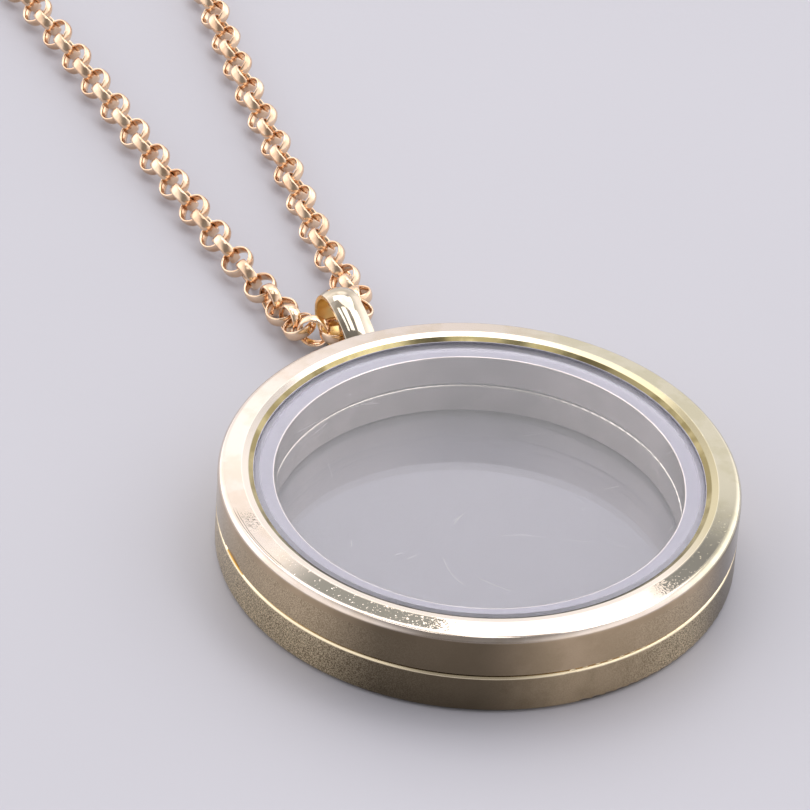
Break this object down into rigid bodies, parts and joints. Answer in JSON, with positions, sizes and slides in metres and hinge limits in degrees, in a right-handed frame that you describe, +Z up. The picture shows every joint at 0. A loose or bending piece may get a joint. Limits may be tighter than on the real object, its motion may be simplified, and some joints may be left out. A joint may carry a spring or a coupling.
{
  "type": "glass locket necklace",
  "caption": "Round gold-coloured locket with clear glass in both faces and a hinged front, lying on its back, on a rolo chain necklace threaded through its bail.",
  "frame": {"origin": "centre of the locket's back face, on the surface that it lies on", "axes": "+Z up out of the front window, +Y towards the bail and the chain, +X towards the hinge"},
  "size_m": [0.0896, 0.2554, 0.0054],
  "materials": {
    "case_metal": "pale gold plating, polished with light wear",
    "window_glass": "clear and polished",
    "magnet": "nickel plated",
    "bail_metal": "pale gold plating, polished",
    "chain_metal": "rose-tinted gold plating, polished"
  },
  "bodies": {
    "case": {"back_frame": "case_metal", "back_glass": "window_glass", "hinge_pin": "case_metal", "back_magnet": "magnet", "bail": "bail_metal", "chain": "chain_metal", "clasp": "chain_metal"},
    "lid": {"front_frame": "case_metal", "front_glass": "window_glass", "front_magnet": "magnet"}
  },
  "joints": [
    {"name": "lid_hinge", "type": "hinge", "parent": "case", "child": "lid", "pos_m": [0.01455, 0, 0.0026], "axis": [0, 1, 0], "range_deg": [0, 100]}
  ]
}
